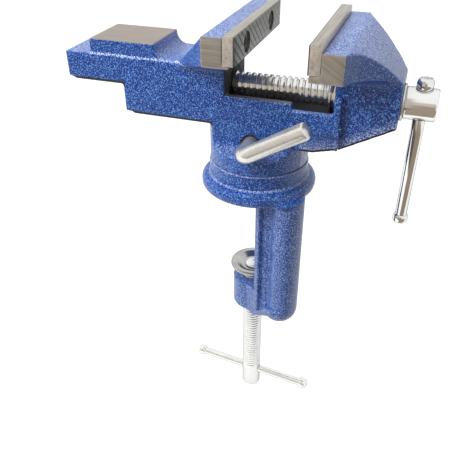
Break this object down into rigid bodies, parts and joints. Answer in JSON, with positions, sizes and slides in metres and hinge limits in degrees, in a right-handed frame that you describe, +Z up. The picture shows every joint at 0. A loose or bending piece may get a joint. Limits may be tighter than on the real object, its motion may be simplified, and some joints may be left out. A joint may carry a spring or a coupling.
{
  "type": "clamp-on table vise",
  "caption": "Clamp-on table vise: a swivelling head with wide jaws, an anvil and a lead screw, on a C-clamp foot that grips a table edge.",
  "frame": {"origin": "on the swivel axis, at the table face under the clamp flange", "axes": "+X along the lead screw from the anvil to the handle, +Z up along the swivel axis"},
  "size_m": [0.1811, 0.075, 0.245],
  "materials": {
    "blue_paint": "blue hammertone paint on cast iron, bare machined anvil face and jaw block ends",
    "jaw_steel": "ground steel with diagonal grooves across its grip face",
    "dark_steel": "black oxide, oiled",
    "chrome": "bright plated",
    "zinc": "zinc plated"
  },
  "bodies": {
    "base": {"clamp_frame": "blue_paint"},
    "vise_head": {"vise_body": "blue_paint", "fixed_jaw_plate": "jaw_steel", "fixed_jaw_screws": "dark_steel", "lead_nut": "dark_steel", "nut_set_screw": "dark_steel"},
    "sliding_jaw": {"moving_jaw": "blue_paint", "moving_jaw_plate": "jaw_steel", "moving_jaw_screws": "dark_steel", "thrust_washer": "zinc"},
    "screw": {"lead_screw": "chrome", "thrust_collar": "chrome", "collar_pin": "zinc"},
    "main_handle": {"handle_bar": "chrome", "handle_upper_knob": "chrome", "handle_lower_knob": "chrome"},
    "lock": {"lock_lever": "chrome"},
    "pad": {"clamp_pad": "zinc"},
    "foot_screw": {"clamp_screw": "zinc"},
    "foot_handle": {"clamp_bar": "zinc", "clamp_left_knob": "zinc", "clamp_right_knob": "zinc"}
  },
  "joints": [
    {"name": "swivel", "type": "hinge", "parent": "base", "child": "vise_head", "pos_m": [0, 0, 0.016], "axis": [0, 0, 1], "continuous": true},
    {"name": "jaw_slide", "type": "slide", "parent": "vise_head", "child": "sliding_jaw", "axis": [1, 0, 0], "range_m": [-0.0308, 0.019]},
    {"name": "screw_turn", "type": "hinge", "parent": "sliding_jaw", "child": "screw", "pos_m": [0.068, 0, 0.0535], "axis": [1, 0, 0], "range_deg": [-3711, 2295]},
    {"name": "handle_slide", "type": "slide", "parent": "screw", "child": "main_handle", "axis": [0, 0, 1], "range_m": [0, 0.0516]},
    {"name": "lock_turn", "type": "hinge", "parent": "vise_head", "child": "lock", "pos_m": [0, -0.016, 0.0288], "axis": [0, -1, 0], "range_deg": [-60, 40]},
    {"name": "pad_slide", "type": "slide", "parent": "base", "child": "pad", "axis": [0, 0, 1], "range_m": [0, 0.05]},
    {"name": "clamp_turn", "type": "hinge", "parent": "pad", "child": "foot_screw", "pos_m": [-0.0023, 0.00193, -0.1], "axis": [0, 0, 1], "range_deg": [-15, 9015]},
    {"name": "clamp_bar_slide", "type": "slide", "parent": "foot_screw", "child": "foot_handle", "axis": [0.9945, -0.1045, 0], "range_m": [-0.027, 0.027]}
  ],
  "couplings": [
    {"joint": "screw_turn", "follows": "jaw_slide", "rad_per_m": 2094.4},
    {"joint": "clamp_turn", "follows": "pad_slide", "rad_per_m": 3141.6}
  ]
}
